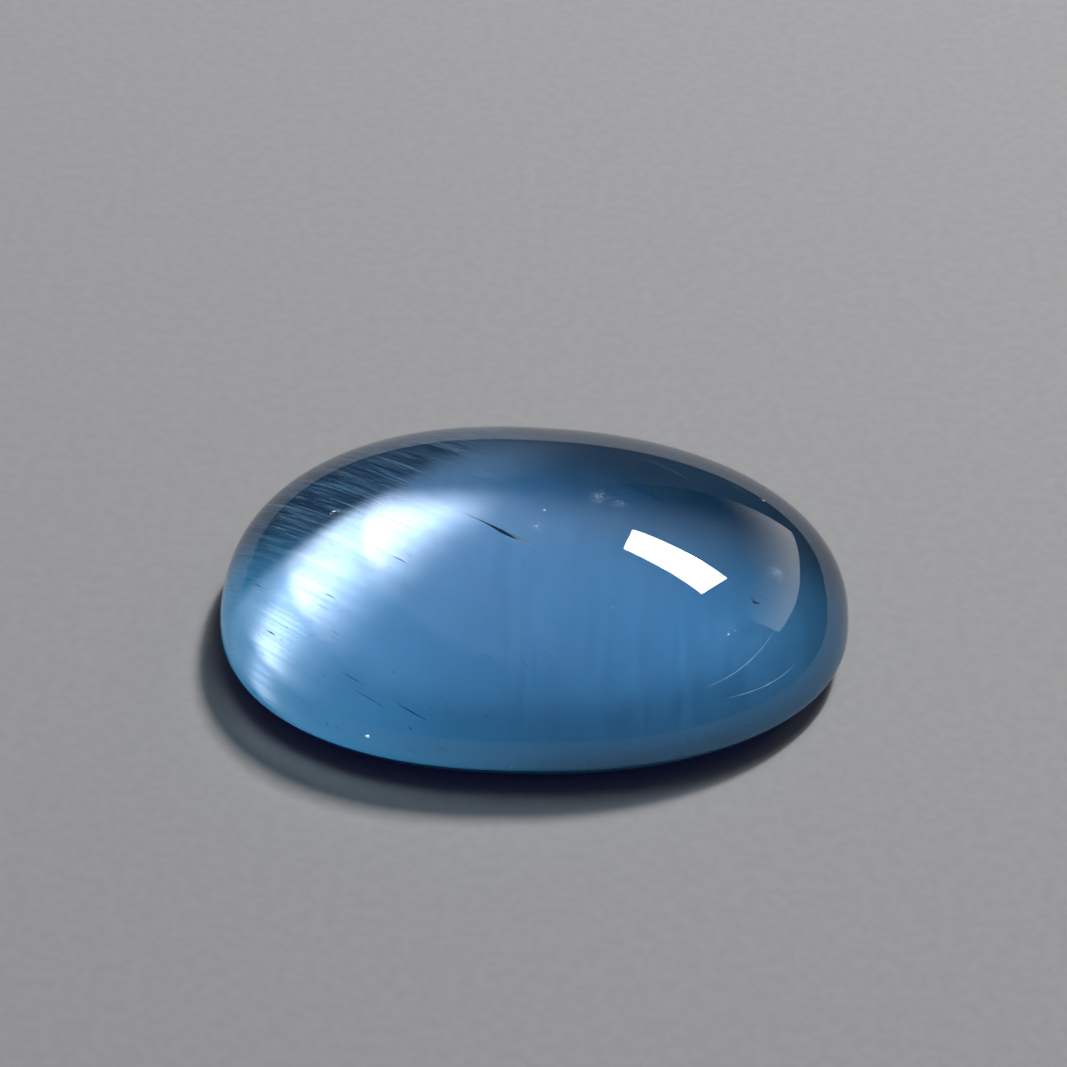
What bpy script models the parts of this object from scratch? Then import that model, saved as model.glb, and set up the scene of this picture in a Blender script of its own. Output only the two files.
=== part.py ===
"""An oval cabochon cut from one aquamarine: a low polished dome over a rounded girdle and a flat base.

Metres, +Z up. The stone lies on its flat base, with the origin in the middle of that base, its length
along X and its width along Y. It is a single natural solid, so it is a single object.
"""

import math

import bmesh
import bpy

# Driving dimensions of the cut stone
HALF_LENGTH = 0.010
HALF_WIDTH = 0.0075
DOME_RISE = 0.0044  # from the girdle, the stone's widest ring, to the top
GIRDLE_HEIGHT = 0.0009  # from the flat base to the girdle
BASE_SHARE = 0.87  # the flat base's size as a share of the girdle's
UNDERSIDE_POWER = 1.3  # 1 is a straight bevel under the girdle, 2 a quarter ellipse

# Plan outline: a superellipse, a little fuller than an ellipse, whose -X end is cut blunter
OUTLINE_POWER = 2.26
BLUNTNESS = 0.047

# Facets that stand for the polished curves
SIDES = 88
DOME_STEPS = 20
UNDERSIDE_STEPS = 6

# Finish of the solid
AQUAMARINE_BLUE = (0.10, 0.27, 0.46, 1.0)
POLISH_ROUGHNESS = 0.03
BERYL_IOR = 1.577

WELD = 1e-7


def clear_scene():
    for old in list(bpy.data.objects):
        bpy.data.objects.remove(old, do_unlink=True)


def dome_profile():
    """(share of the outline, height) from the girdle up to the top: a quarter ellipse."""
    points = []
    for step in range(DOME_STEPS + 1):
        turn = math.radians(90) * step / DOME_STEPS
        points.append((math.cos(turn), GIRDLE_HEIGHT + DOME_RISE * math.sin(turn)))
    points[-1] = (0.0, GIRDLE_HEIGHT + DOME_RISE)
    return points


def underside_profile():
    """(share of the outline, height) from the rim of the flat base out to just below the girdle."""
    points = []
    rounding = 2 / UNDERSIDE_POWER
    for step in range(UNDERSIDE_STEPS):
        turn = math.radians(90) * step / UNDERSIDE_STEPS
        share = BASE_SHARE + (1 - BASE_SHARE) * math.sin(turn) ** rounding
        points.append((share, GIRDLE_HEIGHT * (1 - math.cos(turn) ** rounding)))
    return points


def turn_profile(shape):
    """Turns the profile round Z into a closed body of unit radius."""
    profile = [(0.0, 0.0), *underside_profile(), *dome_profile()]
    line = [shape.verts.new((share, 0, height)) for share, height in profile]
    edges = [shape.edges.new(pair) for pair in zip(line, line[1:])]
    bmesh.ops.spin(
        shape,
        geom=line + edges,
        axis=(0, 0, 1),
        cent=(0, 0, 0),
        angle=math.radians(360),
        steps=SIDES,
        use_merge=True,
    )
    bmesh.ops.remove_doubles(shape, verts=shape.verts, dist=WELD)


def press_to_oval(shape):
    """Carries each point of the round body to the same share of the oval outline."""
    for vert in shape.verts:
        share = math.hypot(vert.co.x, vert.co.y)
        if share < WELD:
            continue
        along, across = vert.co.x / share, vert.co.y / share
        rounding = 2 / OUTLINE_POWER
        along = math.copysign(abs(along) ** rounding, along)
        across = math.copysign(abs(across) ** rounding, across)
        vert.co.x = HALF_LENGTH * share * along
        vert.co.y = HALF_WIDTH * share * across * (1 - BLUNTNESS * along)


def aquamarine():
    material = bpy.data.materials.new("aquamarine")
    material.use_nodes = True
    surface = material.node_tree.nodes["Principled BSDF"]
    surface.inputs["Base Color"].default_value = AQUAMARINE_BLUE
    surface.inputs["Roughness"].default_value = POLISH_ROUGHNESS
    surface.inputs["Metallic"].default_value = 0.0
    surface.inputs["IOR"].default_value = BERYL_IOR
    return material


def cabochon():
    shape = bmesh.new()
    turn_profile(shape)
    press_to_oval(shape)
    bmesh.ops.dissolve_limit(
        shape,
        angle_limit=math.radians(0.01),
        verts=shape.verts,
        edges=[edge for edge in shape.edges if all(vert.co.z < WELD for vert in edge.verts)],
    )
    bmesh.ops.recalc_face_normals(shape, faces=shape.faces)
    mesh = bpy.data.meshes.new("aquamarine_cabochon")
    shape.to_mesh(mesh)
    shape.free()
    mesh.shade_smooth()
    mesh.materials.append(aquamarine())
    stone = bpy.data.objects.new("aquamarine_cabochon", mesh)
    bpy.context.scene.collection.objects.link(stone)
    return stone


clear_scene()
cabochon()
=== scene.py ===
import math

import bmesh
import bpy
import numpy as np
from mathutils import Matrix, Vector


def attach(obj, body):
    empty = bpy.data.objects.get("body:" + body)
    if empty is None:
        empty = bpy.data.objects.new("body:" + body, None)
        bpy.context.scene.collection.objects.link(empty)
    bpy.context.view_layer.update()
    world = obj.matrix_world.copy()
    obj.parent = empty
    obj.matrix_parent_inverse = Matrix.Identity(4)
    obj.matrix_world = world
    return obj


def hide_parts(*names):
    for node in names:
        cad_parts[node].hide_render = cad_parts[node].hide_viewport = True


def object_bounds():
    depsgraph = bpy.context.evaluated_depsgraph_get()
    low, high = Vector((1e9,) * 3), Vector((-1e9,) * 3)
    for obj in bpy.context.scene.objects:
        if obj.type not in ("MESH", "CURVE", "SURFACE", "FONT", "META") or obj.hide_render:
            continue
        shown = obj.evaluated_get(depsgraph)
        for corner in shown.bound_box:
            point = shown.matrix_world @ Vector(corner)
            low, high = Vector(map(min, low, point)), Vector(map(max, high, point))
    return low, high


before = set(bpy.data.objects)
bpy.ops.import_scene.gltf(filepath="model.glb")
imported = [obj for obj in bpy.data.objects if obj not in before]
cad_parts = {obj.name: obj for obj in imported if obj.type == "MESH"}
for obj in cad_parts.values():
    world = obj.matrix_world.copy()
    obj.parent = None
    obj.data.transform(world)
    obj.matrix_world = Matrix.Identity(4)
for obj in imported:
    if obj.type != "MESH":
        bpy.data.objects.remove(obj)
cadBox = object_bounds()
baseHeight, topHeight = cadBox[0][2], cadBox[1][2]
print("frame loaded: the stone is", round(topHeight * 1000, 2), "mm high")


# The cut: a dome over a rounded girdle, with the ends of the oval a little fuller than an ellipse
cut = {
    "halfLength": 0.0100,
    "halfWidth": 0.0075,
    "girdleHeight": 0.0009,
    "baseShare": 0.87,
    "undersidePower": 1.3,
    "outlinePower": 2.26,
    "bluntness": 0.047,  # the -X end is cut fuller than the +X end
    "sides": 224,
    "baseSteps": 6,
    "domeSteps": 60,
    "undersideSteps": 14,
    "weld": 0.000001,
}


def ovalPoint(share, along, across):
    # along and across are a unit direction; share runs from 0 at the middle to 1 at the girdle
    rounding = 2 / cut["outlinePower"]
    along = math.copysign(abs(along) ** rounding, along)
    across = math.copysign(abs(across) ** rounding, across)
    x = cut["halfLength"] * share * along
    return x, cut["halfWidth"] * share * across * (1 - cut["bluntness"] * along)


def stoneProfile():
    # (share of the outline, height) from the middle of the base, out round the girdle and up to the top
    girdle = cut["girdleHeight"]
    rounding = 2 / cut["undersidePower"]
    rings = cut["baseSteps"]
    points = [(cut["baseShare"] * step / rings, baseHeight) for step in range(rings)]
    for step in range(cut["undersideSteps"]):
        turn = math.pi / 2 * step / cut["undersideSteps"]
        share = cut["baseShare"] + (1 - cut["baseShare"]) * math.sin(turn) ** rounding
        points.append((share, baseHeight + girdle * (1 - math.cos(turn) ** rounding)))
    for step in range(cut["domeSteps"]):
        turn = math.pi / 2 * step / cut["domeSteps"]
        points.append((math.cos(turn), girdle + (topHeight - girdle) * math.sin(turn)))
    points.append((0.0, topHeight))
    return points


def makeStone():
    shape = bmesh.new()
    line = [shape.verts.new((share, 0, height)) for share, height in stoneProfile()]
    edges = [shape.edges.new(pair) for pair in zip(line, line[1:])]
    bmesh.ops.spin(shape, geom=line + edges, axis=(0, 0, 1), cent=(0, 0, 0),
                   angle=math.tau, steps=cut["sides"], use_merge=True)
    bmesh.ops.remove_doubles(shape, verts=shape.verts, dist=cut["weld"])
    for vert in shape.verts:
        share = math.hypot(vert.co.x, vert.co.y)
        if share > cut["weld"]:
            vert.co.x, vert.co.y = ovalPoint(share, vert.co.x / share, vert.co.y / share)
    bmesh.ops.recalc_face_normals(shape, faces=shape.faces)
    for face in shape.faces:
        face.smooth = True
        if all(vert.co.z < cut["girdleHeight"] - 10 * cut["weld"] for vert in face.verts):
            face.material_index = 1 if face.calc_center_median().z < baseHeight + cut["weld"] else 2
    mesh = bpy.data.meshes.new("polishedStone")
    shape.to_mesh(mesh)
    shape.free()
    stone = bpy.data.objects.new("polishedStone", mesh)
    bpy.context.scene.collection.objects.link(stone)
    return stone


# Small helpers for node trees: an input is a number, a colour or another node's output
def feed(tree, socket, value):
    if isinstance(value, bpy.types.NodeSocket):
        tree.links.new(value, socket)
    elif value is not None:
        socket.default_value = value


def mathNode(tree, operation, first, second=None, clamp=False):
    node = tree.nodes.new("ShaderNodeMath")
    node.operation = operation
    node.use_clamp = clamp
    feed(tree, node.inputs[0], first)
    feed(tree, node.inputs[1], second)
    return node.outputs[0]


def dotNode(tree, vector, way):
    node = tree.nodes.new("ShaderNodeVectorMath")
    node.operation = "DOT_PRODUCT"
    feed(tree, node.inputs[0], vector)
    feed(tree, node.inputs[1], way)
    return node.outputs["Value"]


noiseSpan = (0.3, 0.7)  # where most of a noise's values lie


def noiseNode(tree, vector, scale, detail=2.0, roughness=0.5):
    node = tree.nodes.new("ShaderNodeTexNoise")
    feed(tree, node.inputs["Vector"], vector)
    feed(tree, node.inputs["Scale"], scale)
    node.inputs["Detail"].default_value = detail
    node.inputs["Roughness"].default_value = roughness
    return node.outputs["Fac"]


def rangeNode(tree, value, fromLow, fromHigh, toLow=0.0, toHigh=1.0, smooth=True):
    node = tree.nodes.new("ShaderNodeMapRange")
    node.interpolation_type = "SMOOTHSTEP" if smooth else "LINEAR"
    feed(tree, node.inputs["Value"], value)
    node.inputs["From Min"].default_value = fromLow
    node.inputs["From Max"].default_value = fromHigh
    node.inputs["To Min"].default_value = toLow
    node.inputs["To Max"].default_value = toHigh
    return node.outputs["Result"]


# The beryl: clear blue, darker along a longer way through it
beryl = {
    "ior": 1.577,
    "absorbed": (0.25, 0.72, 0.93, 1.0),
    "density": 120.0,  # per metre
    "shade": (0.93, 0.97, 1.0, 1.0),
    "cast": (0.03, 0.05, 0.07, 1.0),  # what the stone lets through to the floor
    # The matt base and bevel scatter some of the light that reaches them. The base's colour holds a
    # painted glow:
    # lighter in the left front of the stone, where light gathers inside it, and painted shade elsewhere.
    # Listed:
    # the ways this is measured, where it ends and where it is full, and what is left of it past there
    "baseGlowColour": (0.11, 0.40, 0.61, 1.0),
    "baseShadeColour": (0.006, 0.024, 0.048, 1.0),
    "baseGlowZone": (
        ((0.0, 1.0, 0.0), (0.0030, 0.0), 0.0),
        ((0.8, 0.5, 0.0), (-0.0006, -0.0088), 0.14),
    ),
    "bevelColour": (0.05, 0.24, 0.34, 1.0),
    "groundShade": (0.03, 0.05, 0.07, 1.0),
    "groundTint": (0.12, 0.62, 0.95, 1.0),  # what the ground faces turn back into the stone
    "baseIor": 1.08,  # the flat base lies so close to the floor that no light glances back from it
    "bevelIor": 1.45,
    "groundClear": 0.5,  # the share of the light that base and bevel let through
    "polishRoughness": (0.012, 0.019),  # of the best polish, and of the worn patches
    "baseRoughness": (0.61, 0.79),
    "bevelRoughness": (0.56, 0.74),
    "wearScale": 1400.0,
    "wearRange": (0.35, 0.75),
    "hairlineWays": ((0.8, 0.6, 0.3), (0.5, -0.8, 0.2)),
    "hairlinePitch": 21000.0,  # radians per metre
    "hairlineCrest": 0.985,  # the nearer to 1, the finer
    "hairlineWobble": (260.0, 0.0016),  # scale and reach
    "polishWave": (520.0, 0.0000012),  # scale and height
    "groundGrain": (26000.0, 0.000001),
}


def wearGroup():
    # Wear: soft patches with fine crossing hairlines. Wave: long swells. Grain: the ground skin
    tree = bpy.data.node_groups.new("stoneSkin", "ShaderNodeTree")
    for name in ("Wear", "Wave", "Grain"):
        tree.interface.new_socket(name, in_out="OUTPUT", socket_type="NodeSocketFloat")
    out = tree.nodes.new("NodeGroupOutput")
    place = tree.nodes.new("ShaderNodeTexCoord").outputs["Object"]
    patches = noiseNode(tree, place, beryl["wearScale"], 1.0, 0.6)
    patches = rangeNode(tree, patches, *beryl["wearRange"])
    scale, reach = beryl["hairlineWobble"]
    wobble = mathNode(tree, "MULTIPLY", noiseNode(tree, place, scale, 0.0), reach)
    lines = []
    for way in beryl["hairlineWays"]:
        along = mathNode(tree, "ADD", dotNode(tree, place, way), wobble)
        wave = mathNode(tree, "SINE", mathNode(tree, "MULTIPLY", along, beryl["hairlinePitch"]))
        lines.append(rangeNode(tree, wave, beryl["hairlineCrest"], 1.0))
    hairlines = mathNode(tree, "MULTIPLY", mathNode(tree, "MAXIMUM", *lines), patches)
    worn = mathNode(tree, "MULTIPLY", mathNode(tree, "ADD", patches, hairlines), 0.5)
    feed(tree, out.inputs["Wear"], worn)
    feed(tree, out.inputs["Wave"], noiseNode(tree, place, beryl["polishWave"][0], 0.0))
    feed(tree, out.inputs["Grain"], noiseNode(tree, place, beryl["groundGrain"][0], 0.0, 0.6))
    return tree


def glassMaterial(name, colour, shade, ior, roughness, clearness, ground):
    material = bpy.data.materials.new(name)
    material.use_nodes = True
    tree = material.node_tree
    surface = tree.nodes["Principled BSDF"]
    surface.inputs["Base Color"].default_value = colour
    surface.inputs["IOR"].default_value = ior
    surface.inputs["Transmission Weight"].default_value = clearness
    surface.inputs["Metallic"].default_value = 0.0
    skin = tree.nodes.new("ShaderNodeGroup")
    skin.node_tree = stoneSkin
    bump = tree.nodes.new("ShaderNodeBump")
    bump.inputs["Strength"].default_value = 1.0
    if ground:
        surface.inputs["Specular Tint"].default_value = beryl["groundTint"]
        bump.inputs["Distance"].default_value = beryl["groundGrain"][1]
        worn = rangeNode(tree, skin.outputs["Grain"], *noiseSpan, *roughness)
        tree.links.new(skin.outputs["Grain"], bump.inputs["Height"])
    else:
        bump.inputs["Distance"].default_value = beryl["polishWave"][1]
        worn = rangeNode(tree, skin.outputs["Wear"], 0.0, 1.0, *roughness, smooth=False)
        tree.links.new(skin.outputs["Wave"], bump.inputs["Height"])
    feed(tree, surface.inputs["Roughness"], worn)
    tree.links.new(bump.outputs["Normal"], surface.inputs["Normal"])
    lightPath = tree.nodes.new("ShaderNodeLightPath")
    through = tree.nodes.new("ShaderNodeBsdfTransparent")
    # a lamp shines in through the polish from outside, but the stone's own shadow stays dark
    sides = tree.nodes.new("ShaderNodeMix")
    sides.data_type = "RGBA"
    tree.links.new(tree.nodes.new("ShaderNodeNewGeometry").outputs["Backfacing"], sides.inputs["Factor"])
    sides.inputs["A"].default_value = beryl["cast"]
    sides.inputs["B"].default_value = shade
    tree.links.new(sides.outputs["Result"], through.inputs["Color"])
    mix = tree.nodes.new("ShaderNodeMixShader")
    absorb = tree.nodes.new("ShaderNodeVolumeAbsorption")
    absorb.inputs["Color"].default_value = beryl["absorbed"]
    absorb.inputs["Density"].default_value = beryl["density"]
    out = tree.nodes["Material Output"]
    tree.links.new(lightPath.outputs["Is Shadow Ray"], mix.inputs["Fac"])
    tree.links.new(surface.outputs["BSDF"], mix.inputs[1])
    tree.links.new(through.outputs["BSDF"], mix.inputs[2])
    tree.links.new(mix.outputs["Shader"], out.inputs["Surface"])
    tree.links.new(absorb.outputs["Volume"], out.inputs["Volume"])
    return material


# paints a glow into the base's colour: lighter in the left front, where light gathers, with painted shade
# elsewhere
def paintBaseGlow(material):
    tree = material.node_tree
    place = tree.nodes.new("ShaderNodeTexCoord").outputs["Object"]
    glowSide, fade = (rangeNode(tree, dotNode(tree, place, way), *ends, rest)
                   for way, ends, rest in beryl["baseGlowZone"])
    mix = tree.nodes.new("ShaderNodeMix")
    mix.data_type = "RGBA"
    feed(tree, mix.inputs["Factor"], mathNode(tree, "MULTIPLY", glowSide, fade))
    mix.inputs["A"].default_value = beryl["baseShadeColour"]
    mix.inputs["B"].default_value = beryl["baseGlowColour"]
    tree.links.new(mix.outputs["Result"], tree.nodes["Principled BSDF"].inputs["Base Color"])


# The silk's single needles: fine and straight, all along one direction. The veils further down hold the
# rest of the silk, with the sheen that crosses it as a band
silk = {
    "turn": -29.75,  # degrees from +X, seen from above
    "dip": -8.1,
    "spread": 1.2,
    "count": 1400,
    "length": (0.0008, 0.0045),
    "radius": (0.0000028, 0.0000060),
    "sparse": 0.006,  # how many there are outside the clear zone, as a share
    "colour": (0.15, 0.27, 0.38, 1.0),
    "roughness": 0.45,
    "metallic": 0.25,
    "grain": (1500.0, 0.3),  # patches per metre, and how much darker they are
    "bias": (1.5, 2),  # the higher, the fewer long ones and the fewer thick ones
    "skin": 0.985,  # how near to the polish a needle may come, as a share of the stone
    "lowest": (0.00012, 0.00008),  # of a needle's middle and of its ends, above the base
    "seed": 11,
}


def shareOfPoints(points):
    # how far out each point lies, 0 in the middle and 1 on the surface of the dome
    x, y = points[:, 0], points[:, 1]
    height = np.maximum((points[:, 2] - cut["girdleHeight"]) / (topHeight - cut["girdleHeight"]), 0)
    power = cut["outlinePower"]
    width = cut["halfWidth"] * (1 - cut["bluntness"] * x / cut["halfLength"])
    flat = (np.abs(x / cut["halfLength"]) ** power + np.abs(y / width) ** power) ** (1 / power)
    return np.sqrt(flat ** 2 + height ** 2)


def silkDirection(turn, dip):
    turn, dip = math.radians(turn), math.radians(dip)
    return np.array([math.cos(turn) * math.cos(dip), math.sin(turn) * math.cos(dip), math.sin(dip)])


def scatterNeedles(settings, density):
    # middles, directions, lengths and radii of needles that lie wholly inside the stone
    random = np.random.default_rng(settings["seed"])
    axis = silkDirection(silk["turn"], silk["dip"])
    side = np.cross(axis, (0, 0, 1))
    side /= np.linalg.norm(side)
    rise = np.cross(side, axis)
    length, width = cut["halfLength"], cut["halfWidth"] * 1.05  # the blunt end is a little wider
    lowMiddle, lowEnd = (baseHeight + gap for gap in silk["lowest"])
    longBias, thickBias = silk["bias"]
    middles, axes, halves, radii = [], [], [], []
    found = 0
    batch = 40000
    while found < settings["count"]:
        middle = random.uniform((-length, -width, lowMiddle), (length, width, topHeight), (batch, 3))
        short, long = settings["length"]
        half = 0.5 * short * (long / short) ** random.random(batch) ** longBias
        lean = np.radians(settings["spread"]) * random.normal(size=(batch, 2))
        way = axis + lean[:, :1] * side + lean[:, 1:] * rise
        way /= np.linalg.norm(way, axis=1)[:, None]
        ends = np.concatenate([middle - way * half[:, None], middle + way * half[:, None]])
        inside = (shareOfPoints(ends) < silk["skin"]) & (ends[:, 2] > lowEnd)
        inside = inside[:batch] & inside[batch:]
        inside &= random.random(batch) < density(middle)
        thin, thick = settings["radius"]
        radius = thin * (thick / thin) ** random.random(batch) ** thickBias
        middles.append(middle[inside])
        axes.append(way[inside])
        halves.append(half[inside])
        radii.append(radius[inside])
        found += int(inside.sum())
    keep = slice(0, settings["count"])
    return [np.concatenate(part)[keep] for part in (middles, axes, halves, radii)]


def makeNeedles(name, middles, axes, halves, radii, material):
    # each needle is a sliver with four faces: two tips, and two shoulders a quarter turn apart
    count = len(middles)
    random = np.random.default_rng(count)
    side = np.cross(axes, (0, 0, 1))
    side /= np.linalg.norm(side, axis=1)[:, None]
    rise = np.cross(side, axes)
    turn = math.tau * random.random(count)[:, None]
    across = side * np.cos(turn) + rise * np.sin(turn)
    up = np.cross(axes, across)
    points = np.empty((count, 4, 3))
    points[:, 0] = middles - axes * halves[:, None]
    points[:, 1] = middles + axes * halves[:, None]
    points[:, 2] = middles + across * radii[:, None]
    points[:, 3] = middles + up * radii[:, None]
    faces = np.array([[0, 2, 1], [0, 1, 3], [0, 3, 2], [1, 2, 3]])
    faces = (faces[None] + 4 * np.arange(count)[:, None, None]).reshape(-1, 3)
    mesh = bpy.data.meshes.new(name)
    mesh.from_pydata(points.reshape(-1, 3), [], faces.tolist())
    mesh.materials.append(material)
    piece = bpy.data.objects.new(name, mesh)
    bpy.context.scene.collection.objects.link(piece)
    return piece


def grainGroup():
    # Tone: the colour, darker in soft patches by the share Depth. Grain: the same patches, 0 to 1
    tree = bpy.data.node_groups.new("softGrain", "ShaderNodeTree")
    for name, kind in (("Colour", "Color"), ("Depth", "Float"), ("Scale", "Float")):
        tree.interface.new_socket(name, in_out="INPUT", socket_type="NodeSocket" + kind)
    for name, kind in (("Tone", "Color"), ("Grain", "Float")):
        tree.interface.new_socket(name, in_out="OUTPUT", socket_type="NodeSocket" + kind)
    given = tree.nodes.new("NodeGroupInput").outputs
    out = tree.nodes.new("NodeGroupOutput").inputs
    place = tree.nodes.new("ShaderNodeTexCoord").outputs["Object"]
    patches = rangeNode(tree, noiseNode(tree, place, given["Scale"], 1.0), *noiseSpan)
    dark = tree.nodes.new("ShaderNodeMix")
    dark.data_type = "RGBA"
    feed(tree, dark.inputs["Factor"], mathNode(tree, "MULTIPLY", patches, given["Depth"]))
    feed(tree, dark.inputs["A"], given["Colour"])
    dark.inputs["B"].default_value = (0, 0, 0, 1)
    feed(tree, out["Tone"], dark.outputs["Result"])
    feed(tree, out["Grain"], patches)
    return tree


softGrain = grainGroup()


def grainedMaterial(name, colour, roughness, scale, depth):
    # one colour whose brightness drifts by the share depth over patches of about 1 / scale metres
    material = bpy.data.materials.new(name)
    material.use_nodes = True
    tree = material.node_tree
    surface = tree.nodes["Principled BSDF"]
    grain = tree.nodes.new("ShaderNodeGroup")
    grain.node_tree = softGrain
    for socket, value in (("Colour", colour), ("Depth", depth), ("Scale", scale)):
        grain.inputs[socket].default_value = value
    tree.links.new(grain.outputs["Tone"], surface.inputs["Base Color"])
    worn = rangeNode(tree, grain.outputs["Grain"], 0.0, 1.0, roughness * (1 - depth / 2), roughness)
    feed(tree, surface.inputs["Roughness"], worn)
    return material


def silkMaterial():
    material = grainedMaterial("silk", silk["colour"], silk["roughness"], *silk["grain"])
    surface = material.node_tree.nodes["Principled BSDF"]
    surface.inputs["Metallic"].default_value = silk["metallic"]
    return material


stone = makeStone()
stoneSkin = wearGroup()
white, dim = (1, 1, 1, 1), beryl["groundShade"]
for skinMaterial in (
    glassMaterial("polishedBeryl", white, beryl["shade"], beryl["ior"],
                  beryl["polishRoughness"], 1.0, False),
    glassMaterial("groundBase", beryl["baseGlowColour"], dim, beryl["baseIor"],
                  beryl["baseRoughness"], beryl["groundClear"], True),
    glassMaterial("groundBevel", beryl["bevelColour"], dim, beryl["bevelIor"],
                  beryl["bevelRoughness"], beryl["groundClear"], True),
):
    stone.data.materials.append(skinMaterial)
paintBaseGlow(stone.data.materials[1])
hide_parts("aquamarine_cabochon")
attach(stone, "root")
print("stone made:", len(stone.data.polygons), "faces")


# The veils: growth planes that hold silk too fine to see singly, and level milky haze between them. The
# silk lies within its planes, so each plane carries the sheen that crosses the silk
veil = {
    "silkHeights": (0.0001, 0.0011, 0.0026, 0.0039),  # on the stone's axis
    "hazeHeights": (0.0009, 0.0023),
    "fit": 0.985,
    "silkColour": (0.96, 0.90, 1.0, 1.0),
    "silkRoughness": 0.28,
    "anisotropy": 1.0,
    "silkCover": 0.0222,
    "silkSkin": (1.0, 0.90),  # squared share of the stone where the silk ends, and where it is full
    "hazeColour": (0.15, 0.44, 0.80, 1.0),
    "hazeCover": 0.142,
    "hazeSkin": (0.99, 0.55),
    "baseFade": (0.0001, 0.0007),
    "streaks": ((3500.0, 170.0, 1.0), (14000.0, 420.0, 0.0)),  # scale across and along the silk, detail
    "streakRanges": ((0.36, 0.66), (0.40, 0.66)),
    "streakCover": (0.5, 0.65),  # what the streaks add, and what is there without them
    "mottleScale": (4200.0, 520.0, 520.0),
    "mottleCover": (0.46, 0.77),
    "mapScale": 50.0,  # turns of the silk's map per metre
    # The silk fills one zone of the crystal. Each side of it is a steep plane: the way its distance is
    # measured, where the silk ends, where it is full, and what is left of it past the plane
    "silkZone": (
        ((0.0, 1.0, 0.5), (0.0036, 0.0018), 0.05),
        ((-0.686, 0.727, 0.363), (0.0060, 0.0053), 0.03),
        ((0.804, -0.595, -0.30), (-0.0020, -0.0039), 0.26),
    ),
    "hazeZone": (
        ((0.42, 0.91, 0.45), (0.0056, 0.0004), 0.05),
        ((-0.15, -0.99, 0.0), (0.0070, 0.0015), 0.65),
        ((-0.686, 0.727, 0.363), (0.0060, 0.0046), 0.10),
    ),
}


def silkAxes():
    # along the silk, across it and level, and up through the veils
    along = Vector(silkDirection(silk["turn"], silk["dip"]))
    normal = (Vector((0, 0, 1)) - along * along.z).normalized()
    return along, normal.cross(along), normal


def silkGrainGroup():
    # Streak: fine lines along the silk. Cloud: mottled columns. The depths are 1 inside, 0 at the skin
    tree = bpy.data.node_groups.new("silkGrain", "ShaderNodeTree")
    for name in ("Streak", "Cloud", "SilkDepth", "HazeDepth"):
        tree.interface.new_socket(name, in_out="OUTPUT", socket_type="NodeSocketFloat")
    out = tree.nodes.new("NodeGroupOutput")
    place = tree.nodes.new("ShaderNodeTexCoord").outputs["Object"]
    along, across, normal = (dotNode(tree, place, way) for way in silkAxes())

    def stretched(fine, long, detail):
        joined = tree.nodes.new("ShaderNodeCombineXYZ")
        for socket, value, scale in zip(joined.inputs, (across, along, normal), (fine, long, fine)):
            feed(tree, socket, mathNode(tree, "MULTIPLY", value, scale))
        return noiseNode(tree, joined.outputs["Vector"], 1.0, detail)

    noises = [stretched(*streak) for streak in veil["streaks"]]
    lines = [rangeNode(tree, noise, *ends) for noise, ends in zip(noises, veil["streakRanges"])]
    feed(tree, out.inputs["Streak"], mathNode(tree, "MULTIPLY", mathNode(tree, "ADD", *lines), 0.5))
    apart = tree.nodes.new("ShaderNodeSeparateXYZ")
    feed(tree, apart.inputs[0], place)
    columns = tree.nodes.new("ShaderNodeCombineXYZ")
    for axis, scale in zip("XYZ", veil["mottleScale"]):
        feed(tree, columns.inputs[axis], mathNode(tree, "MULTIPLY", apart.outputs[axis], scale))
    mottle = noiseNode(tree, columns.outputs["Vector"], 1.0, 2.0, 0.65)
    feed(tree, out.inputs["Cloud"], rangeNode(tree, mottle, *noiseSpan, smooth=False))
    risen = mathNode(tree, "SUBTRACT", apart.outputs["Z"], cut["girdleHeight"])
    parts = [mathNode(tree, "DIVIDE", apart.outputs["X"], cut["halfLength"]),
             mathNode(tree, "DIVIDE", apart.outputs["Y"], cut["halfWidth"]),
             mathNode(tree, "DIVIDE", mathNode(tree, "MAXIMUM", risen, 0.0),
                      topHeight - cut["girdleHeight"])]
    squares = [mathNode(tree, "MULTIPLY", part, part) for part in parts]
    share = mathNode(tree, "ADD", mathNode(tree, "ADD", squares[0], squares[1]), squares[2])
    lifted = rangeNode(tree, apart.outputs["Z"], *veil["baseFade"])
    for name, skin in (("SilkDepth", "silkSkin"), ("HazeDepth", "hazeSkin")):
        depth = mathNode(tree, "MULTIPLY", rangeNode(tree, share, *veil[skin]), lifted)
        feed(tree, out.inputs[name], depth)
    return tree


def makeVeil(name, height, normal, material):
    along, across = silkAxes()[:2]
    scale = veil["mapScale"]
    shape = bmesh.new()
    shape.from_mesh(stone.data)
    bmesh.ops.scale(shape, vec=(veil["fit"],) * 3, verts=shape.verts,
                    space=Matrix.Translation((0, 0, -cut["girdleHeight"])))
    cutLine = bmesh.ops.bisect_plane(shape, geom=shape.verts[:] + shape.edges[:] + shape.faces[:],
                                     plane_co=(0, 0, height), plane_no=normal,
                                     clear_inner=True, clear_outer=True)["geom_cut"]
    rim = [edge for edge in cutLine if isinstance(edge, bmesh.types.BMEdge)]
    bmesh.ops.contextual_create(shape, geom=rim)
    silkMap = shape.loops.layers.uv.new("silkMap")
    for face in shape.faces:
        if face.normal.dot(normal) < 0:
            face.normal_flip()
        face.material_index = 0
        for loop in face.loops:
            place = loop.vert.co
            loop[silkMap].uv = (place.dot(across) * scale + 0.5, place.dot(along) * scale + 0.5)
    bmesh.ops.triangulate(shape, faces=shape.faces)
    mesh = bpy.data.meshes.new(name)
    shape.to_mesh(mesh)
    shape.free()
    mesh.materials.clear()
    mesh.materials.append(material)
    piece = bpy.data.objects.new(name, mesh)
    bpy.context.scene.collection.objects.link(piece)
    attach(piece, "root")


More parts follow.
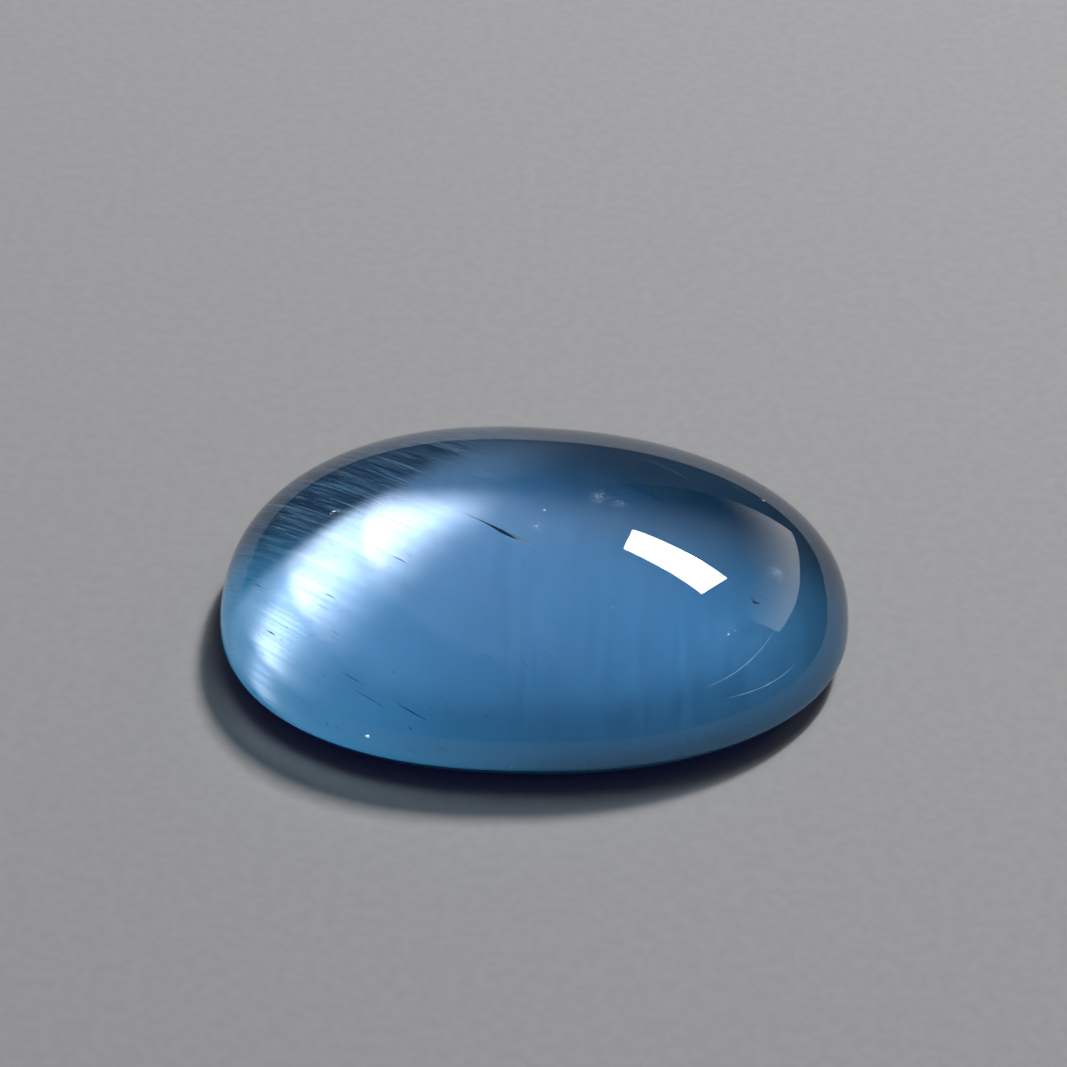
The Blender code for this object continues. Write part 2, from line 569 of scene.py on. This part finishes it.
def veilMaterial(name, colour, metallic, roughness):
    material = bpy.data.materials.new(name)
    material.use_nodes = True
    tree = material.node_tree
    surface = tree.nodes["Principled BSDF"]
    surface.inputs["Base Color"].default_value = colour
    surface.inputs["Metallic"].default_value = metallic
    surface.inputs["Roughness"].default_value = roughness
    grain = tree.nodes.new("ShaderNodeGroup")
    grain.node_tree = silkGrain
    return material, tree, surface, grain


def zonedCover(tree, surface, cover, kind):
    # thins the veil past each side of its zone, then sets how much of it there is
    place = tree.nodes.new("ShaderNodeTexCoord").outputs["Object"]
    for way, (ends, full), rest in veil[kind + "Zone"]:
        left = rangeNode(tree, dotNode(tree, place, way), ends, full, rest)
        cover = mathNode(tree, "MULTIPLY", cover, left)
    cover = mathNode(tree, "MULTIPLY", cover, veil[kind + "Cover"], clamp=True)
    feed(tree, surface.inputs["Alpha"], cover)


def silkVeilMaterial():
    parts = veilMaterial("silkVeil", veil["silkColour"], 1.0, veil["silkRoughness"])
    material, tree, surface, grain = parts
    surface.inputs["Anisotropic"].default_value = veil["anisotropy"]
    tangent = tree.nodes.new("ShaderNodeTangent")
    tangent.direction_type = "UV_MAP"
    tangent.uv_map = "silkMap"
    tree.links.new(tangent.outputs["Tangent"], surface.inputs["Tangent"])
    added, least = veil["streakCover"]
    streak = mathNode(tree, "ADD", mathNode(tree, "MULTIPLY", grain.outputs["Streak"], added), least)
    zonedCover(tree, surface, mathNode(tree, "MULTIPLY", streak, grain.outputs["SilkDepth"]), "silk")
    return material


def hazeVeilMaterial():
    material, tree, surface, grain = veilMaterial("hazeVeil", veil["hazeColour"], 0.0, 1.0)
    surface.inputs["Specular IOR Level"].default_value = 0.0
    added, least = veil["mottleCover"]
    cloud = mathNode(tree, "ADD", mathNode(tree, "MULTIPLY", grain.outputs["Cloud"], added), least)
    zonedCover(tree, surface, mathNode(tree, "MULTIPLY", cloud, grain.outputs["HazeDepth"]), "haze")
    return material


silkGrain = silkGrainGroup()
silkSheet, hazeSheet = silkVeilMaterial(), hazeVeilMaterial()
for number, height in enumerate(veil["silkHeights"], 1):
    makeVeil("silkVeil" + str(number), height, silkAxes()[2], silkSheet)
for number, height in enumerate(veil["hazeHeights"], 1):
    makeVeil("hazeVeil" + str(number), height, Vector((0, 0, 1)), hazeSheet)
print("veils made:", len(veil["silkHeights"]), "of silk and", len(veil["hazeHeights"]), "of haze")


def silkDensity(points):
    # the needles stand out in the clear zone, past the end of the silk, and are sparse elsewhere
    way, (ends, full), rest = veil["silkZone"][1]
    clear = np.clip((points @ np.array(way) - full) / (ends - full), 0, 1)
    return silk["sparse"] + (1 - silk["sparse"]) * clear


# Flaws that show singly. Places are (x, y, z) from the middle of the base; all these are in millimetres
flaws = {
    "tubes": (  # place, length, radius
        ((-1.60, -0.63, 4.70), 1.60, 0.040),
        ((-0.90, -1.04, 4.68), 1.90, 0.100),
        ((-0.62, -1.21, 4.66), 1.30, 0.085),
        ((-0.35, -1.38, 4.66), 0.90, 0.085),
        ((3.50, 1.25, 4.45), 1.30, 0.050),
        ((-4.60, -5.80, 2.05), 1.30, 0.022),
        ((-3.30, -6.15, 1.95), 1.20, 0.030),
        ((-5.14, -5.35, 2.42), 0.90, 0.022),
        ((-6.06, -2.94, 3.46), 0.60, 0.036),
        ((-7.81, -3.39, 2.30), 0.50, 0.036),
        ((-8.41, -1.54, 2.52), 0.45, 0.032),
        ((-4.29, 2.38, 4.22), 0.60, 0.045),
        ((-1.86, 1.49, 4.68), 0.45, 0.050),
        ((-1.33, 2.79, 4.51), 0.24, 0.060),
        ((-3.99, -2.05, 4.25), 0.60, 0.036),
        ((7.00, -1.83, 3.28), 0.80, 0.090),
        ((6.85, -2.05, 3.20), 0.45, 0.140),
    ),
    "specks": (  # place, radius
        ((7.00, 2.72, 3.19), 0.075),
        ((6.04, -3.21, 2.75), 0.045),
        ((6.20, -3.00, 2.72), 0.030),
        ((-4.63, -6.15, 1.00), 0.070),
        ((-4.60, -6.30, 1.12), 0.055),
        ((-6.29, 0.67, 3.79), 0.070),
        ((-6.12, 0.62, 3.84), 0.060),
        ((-6.40, 0.55, 3.78), 0.045),
        ((0.32, -0.06, 4.79), 0.045),
        ((0.10, -0.80, 4.74), 0.055),
        ((2.60, -3.60, 4.10), 0.030),
    ),
    "clouds": (  # place, spread, grains
        ((1.95, 0.82, 4.62), 0.15, 380),
        ((2.60, 0.60, 4.55), 0.11, 150),
        ((0.09, -0.79, 4.70), 0.13, 160),
        ((7.45, -0.68, 3.12), 0.14, 380),
        ((6.10, -3.10, 2.80), 0.24, 140),
        ((3.90, 1.90, 4.10), 0.32, 140),
    ),
    "cloudGrain": (0.004, 0.011),
    "fissures": (  # three points of each curve, on the healed crack's upper edge
        ((7.48, -2.73, 2.71), (6.61, -4.07, 2.44), (5.38, -5.00, 2.30)),
        ((8.07, -3.24, 1.84), (7.20, -4.19, 1.79), (5.94, -4.98, 1.91)),
    ),
    "fissureRadius": 0.010,
    "fissureSteps": 24,
    "fissureTaper": (0.06, 0.94),  # the part of a half wave that its thickness follows
    "speckStretch": 1.3,
    "lowestSpeck": 0.0001,  # above the base, in metres
    "tubeColour": (0.030, 0.075, 0.125, 1.0),
    "tubeFinish": (0.5, 4000.0, 0.5),  # roughness, patches per metre, and how much darker they are
    "speckColour": (0.85, 0.93, 1.0, 1.0),
    "speckFinish": (0.35, 6000.0, 0.4),
    "fissureColour": (0.42, 0.62, 0.72, 1.0),
    "fissureFinish": (0.5, 5000.0, 0.6),
}
# Fine ones strewn through the stone, in metres. The short tubes thin out towards the +X end
smallTubes = {
    "count": 260,
    "length": (0.00012, 0.0006),
    "radius": (0.000008, 0.000022),
    "thinning": (0.25, 0.010),  # the share in the middle, and over what length it falls by 1
    "fewest": 0.12,
    "seed": 5,
}
dust = {"count": 4200, "length": (0.00001, 0.00003), "radius": (0.000005, 0.000014), "seed": 8}
millimetre = 0.001


def needlesFor(settings, density):
    scattered = dict(silk)
    scattered.update(settings)
    return scatterNeedles(scattered, density)


def tubeDensity(points):
    # most of the short tubes lie in the silk's end of the stone
    middle, fall = smallTubes["thinning"]
    return np.clip(middle - points[:, 0] / fall, smallTubes["fewest"], 1.0)


def makeTubes():
    axis = silkDirection(silk["turn"], silk["dip"])
    places = np.array([place for place, length, radius in flaws["tubes"]]) * millimetre
    halves = np.array([length / 2 for place, length, radius in flaws["tubes"]]) * millimetre
    radii = np.array([radius for place, length, radius in flaws["tubes"]]) * millimetre
    strewn = needlesFor(smallTubes, tubeDensity)
    parts = [places, np.tile(axis, (len(places), 1)), halves, radii]
    joined = [np.concatenate(pair) for pair in zip(parts, strewn)]
    material = grainedMaterial("growthTube", flaws["tubeColour"], *flaws["tubeFinish"])
    return makeNeedles("growthTubes", *joined, material)


def makeSpecks():
    # grains a little longer than they are thick, turned every way
    random = np.random.default_rng(dust["seed"])
    places = [np.array([place for place, radius in flaws["specks"]]) * millimetre]
    radii = [np.array([radius for place, radius in flaws["specks"]]) * millimetre]
    for place, spread, count in flaws["clouds"]:
        places.append((np.array(place) + spread * random.normal(size=(count, 3))) * millimetre)
        radii.append(random.uniform(*flaws["cloudGrain"], count) * millimetre)
    strewn = needlesFor(dust, lambda points: np.full(len(points), 1.0))
    places, radii = np.concatenate([*places, strewn[0]]), np.concatenate([*radii, strewn[3]])
    inside = (shareOfPoints(places) < silk["skin"]) & (places[:, 2] > flaws["lowestSpeck"])
    places, radii = places[inside], radii[inside]
    ways = random.normal(size=places.shape)
    ways /= np.linalg.norm(ways, axis=1)[:, None]
    material = grainedMaterial("brightSpeck", flaws["speckColour"], *flaws["speckFinish"])
    return makeNeedles("brightSpecks", places, ways, radii * flaws["speckStretch"], radii, material)


def makeFissures():
    curve = bpy.data.curves.new("healedFissures", "CURVE")
    curve.dimensions = "3D"
    curve.bevel_depth = flaws["fissureRadius"] * millimetre
    curve.bevel_resolution = 1
    curve.use_fill_caps = True
    start, end = flaws["fissureTaper"]
    for first, middle, last in flaws["fissures"]:
        first, middle, last = (Vector(point) * millimetre for point in (first, middle, last))
        bend = middle * 2 - (first + last) / 2
        line = curve.splines.new("POLY")
        line.points.add(flaws["fissureSteps"] - 1)
        for step, point in enumerate(line.points):
            part = step / (flaws["fissureSteps"] - 1)
            place = first * (1 - part) ** 2 + bend * 2 * part * (1 - part) + last * part ** 2
            point.co = (*place, 1.0)
            point.radius = math.sin(math.pi * (start + (end - start) * part))  # thin at both ends
    drawn = bpy.data.objects.new("fissureCurve", curve)
    mesh = bpy.data.meshes.new_from_object(drawn)
    bpy.data.objects.remove(drawn)
    mesh.materials.clear()
    healed = grainedMaterial("healedFissure", flaws["fissureColour"], *flaws["fissureFinish"])
    mesh.materials.append(healed)
    mesh.name = "healedFissures"
    piece = bpy.data.objects.new("healedFissures", mesh)
    bpy.context.scene.collection.objects.link(piece)
    return piece


needles = makeNeedles("silkNeedles", *scatterNeedles(silk, silkDensity), silkMaterial())
for piece in (needles, makeTubes(), makeSpecks(), makeFissures()):
    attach(piece, "root")
    print(piece.name, "made:", len(piece.data.polygons), "faces")


# Camera: set where the photograph was taken from
view = {
    "azimuth": 3.55,  # degrees
    "elevation": 41.0,
    "distance": 0.12,
    "aim": (-0.00013, 0.00155, 0.00273),
    "lens": 126.85,
}


def placeCamera():
    turn, lift = math.radians(view["azimuth"]), math.radians(view["elevation"])
    back = Vector((math.sin(turn) * math.cos(lift), -math.cos(turn) * math.cos(lift), math.sin(lift)))
    lens = bpy.data.cameras.new("camera")
    lens.lens = view["lens"]
    lens.clip_start = 0.001
    camera = bpy.data.objects.new("camera", lens)
    bpy.context.scene.collection.objects.link(camera)
    camera.location = Vector((0, 0, cut["girdleHeight"])) + back * view["distance"]
    look = Vector(view["aim"]) - camera.location
    camera.rotation_euler = look.to_track_quat("-Z", "Y").to_euler()
    bpy.context.scene.camera = camera


studio = {
    "floorColour": (0.255, 0.255, 0.26, 1.0),
    "floorFinish": (0.85, 2600.0, 0.05),  # roughness, patches per metre, and how much darker they are
    "floorHalf": 1.5,
    "floorGap": 0.00002,
    "keyPlace": (0.1063, 0.1884, 0.2752),
    "keyEdge": (0.4455, -0.7723, -0.4529),  # the way its long side runs
    "keyBack": (0.8952, 0.3918, 0.2124),  # the way its back faces
    "keySize": (0.1621, 0.0727),
    "keyPower": 0.83,
    "stripTarget": (0.0044, -0.0019, 0.0047),  # the strip burns in the softbox, and faces this place
    "stripTurn": 30.5,  # degrees from +Y towards +X, seen from above
    "stripLift": 51.0,
    "stripDistance": 0.348,
    "stripRoll": -1.3,
    "stripSize": (0.022, 0.060),
    "stripPower": 1.16,
    "panelTurn": 39.0,
    "panelLift": 36.0,
    "panelDistance": 0.5,
    "panelSize": (0.49, 0.325),
    "panelRoll": -38.5,
    "panelGlow": 1.75,
    "panelStart": 0.05,  # where the glow starts, as a share of the height above the panel's middle
    "air": (0.05, 0.055, 0.065, 1.0),
}


def hangFacing(piece, target, turn, lift, distance, roll):
    turn, lift = math.radians(turn), math.radians(lift)
    out = Vector((math.sin(turn) * math.cos(lift), math.cos(turn) * math.cos(lift), math.sin(lift)))
    piece.location = Vector(target) + out * distance
    facing = (-out).to_track_quat("-Z", "Y").to_matrix().to_4x4()
    piece.rotation_euler = (facing @ Matrix.Rotation(math.radians(roll), 4, "Z")).to_euler()


def rectangleLamp(name):
    lamp = bpy.data.lights.new(name, "AREA")
    lamp.shape = "RECTANGLE"
    lamp.size, lamp.size_y = studio[name + "Size"]
    lamp.energy = studio[name + "Power"]
    light = bpy.data.objects.new(name, lamp)
    bpy.context.scene.collection.objects.link(light)
    return light


def makePanel():
    # a diffuser that glows along its lower right edge, seen only as a reflection
    width, height = studio["panelSize"]
    shape = bmesh.new()
    bmesh.ops.create_grid(shape, x_segments=1, y_segments=1, size=0.5)
    bmesh.ops.scale(shape, vec=(width, height, 1), verts=shape.verts)
    mesh = bpy.data.meshes.new("sidePanel")
    shape.to_mesh(mesh)
    shape.free()
    panel = bpy.data.objects.new("sidePanel", mesh)
    bpy.context.scene.collection.objects.link(panel)
    hangFacing(panel, (0, 0, cut["girdleHeight"]), studio["panelTurn"], studio["panelLift"],
               studio["panelDistance"], studio["panelRoll"])
    material = bpy.data.materials.new("panelCloth")
    material.use_nodes = True
    tree = material.node_tree
    surface = tree.nodes["Principled BSDF"]
    apart = tree.nodes.new("ShaderNodeSeparateXYZ")
    tree.links.new(tree.nodes.new("ShaderNodeTexCoord").outputs["Object"], apart.inputs[0])
    glow = rangeNode(tree, apart.outputs["Y"], height * studio["panelStart"], -height / 2)
    tint = tree.nodes.new("ShaderNodeCombineColor")
    for socket in tint.inputs:
        feed(tree, socket, glow)
    tree.links.new(tint.outputs["Color"], surface.inputs["Emission Color"])
    surface.inputs["Base Color"].default_value = (0, 0, 0, 1)
    surface.inputs["Emission Strength"].default_value = studio["panelGlow"]
    mesh.materials.append(material)


def makeFloor():
    shape = bmesh.new()
    bmesh.ops.create_grid(shape, x_segments=1, y_segments=1, size=studio["floorHalf"])
    mesh = bpy.data.meshes.new("floor")
    shape.to_mesh(mesh)
    shape.free()
    floor = bpy.data.objects.new("floor", mesh)
    bpy.context.scene.collection.objects.link(floor)
    floor.location.z = baseHeight - studio["floorGap"]
    mesh.materials.append(grainedMaterial("floorPaper", studio["floorColour"], *studio["floorFinish"]))


def lightStudio():
    softbox = rectangleLamp("key")
    edge, back = Vector(studio["keyEdge"]).normalized(), Vector(studio["keyBack"]).normalized()
    turned = Matrix((edge, back.cross(edge), back)).transposed()
    softbox.location = studio["keyPlace"]
    softbox.rotation_euler = turned.to_euler()
    hangFacing(rectangleLamp("strip"), studio["stripTarget"], studio["stripTurn"], studio["stripLift"],
               studio["stripDistance"], studio["stripRoll"])
    world = bpy.data.worlds.new("studioAir")
    world.use_nodes = True
    world.node_tree.nodes["Background"].inputs["Color"].default_value = studio["air"]
    bpy.context.scene.world = world


placeCamera()
makeFloor()
makePanel()
lightStudio()
bpy.context.scene.view_settings.view_transform = "Standard"
bpy.context.scene.cycles.transparent_max_bounces = 24  # light crosses the veils many times
print("camera, floor and lights placed")
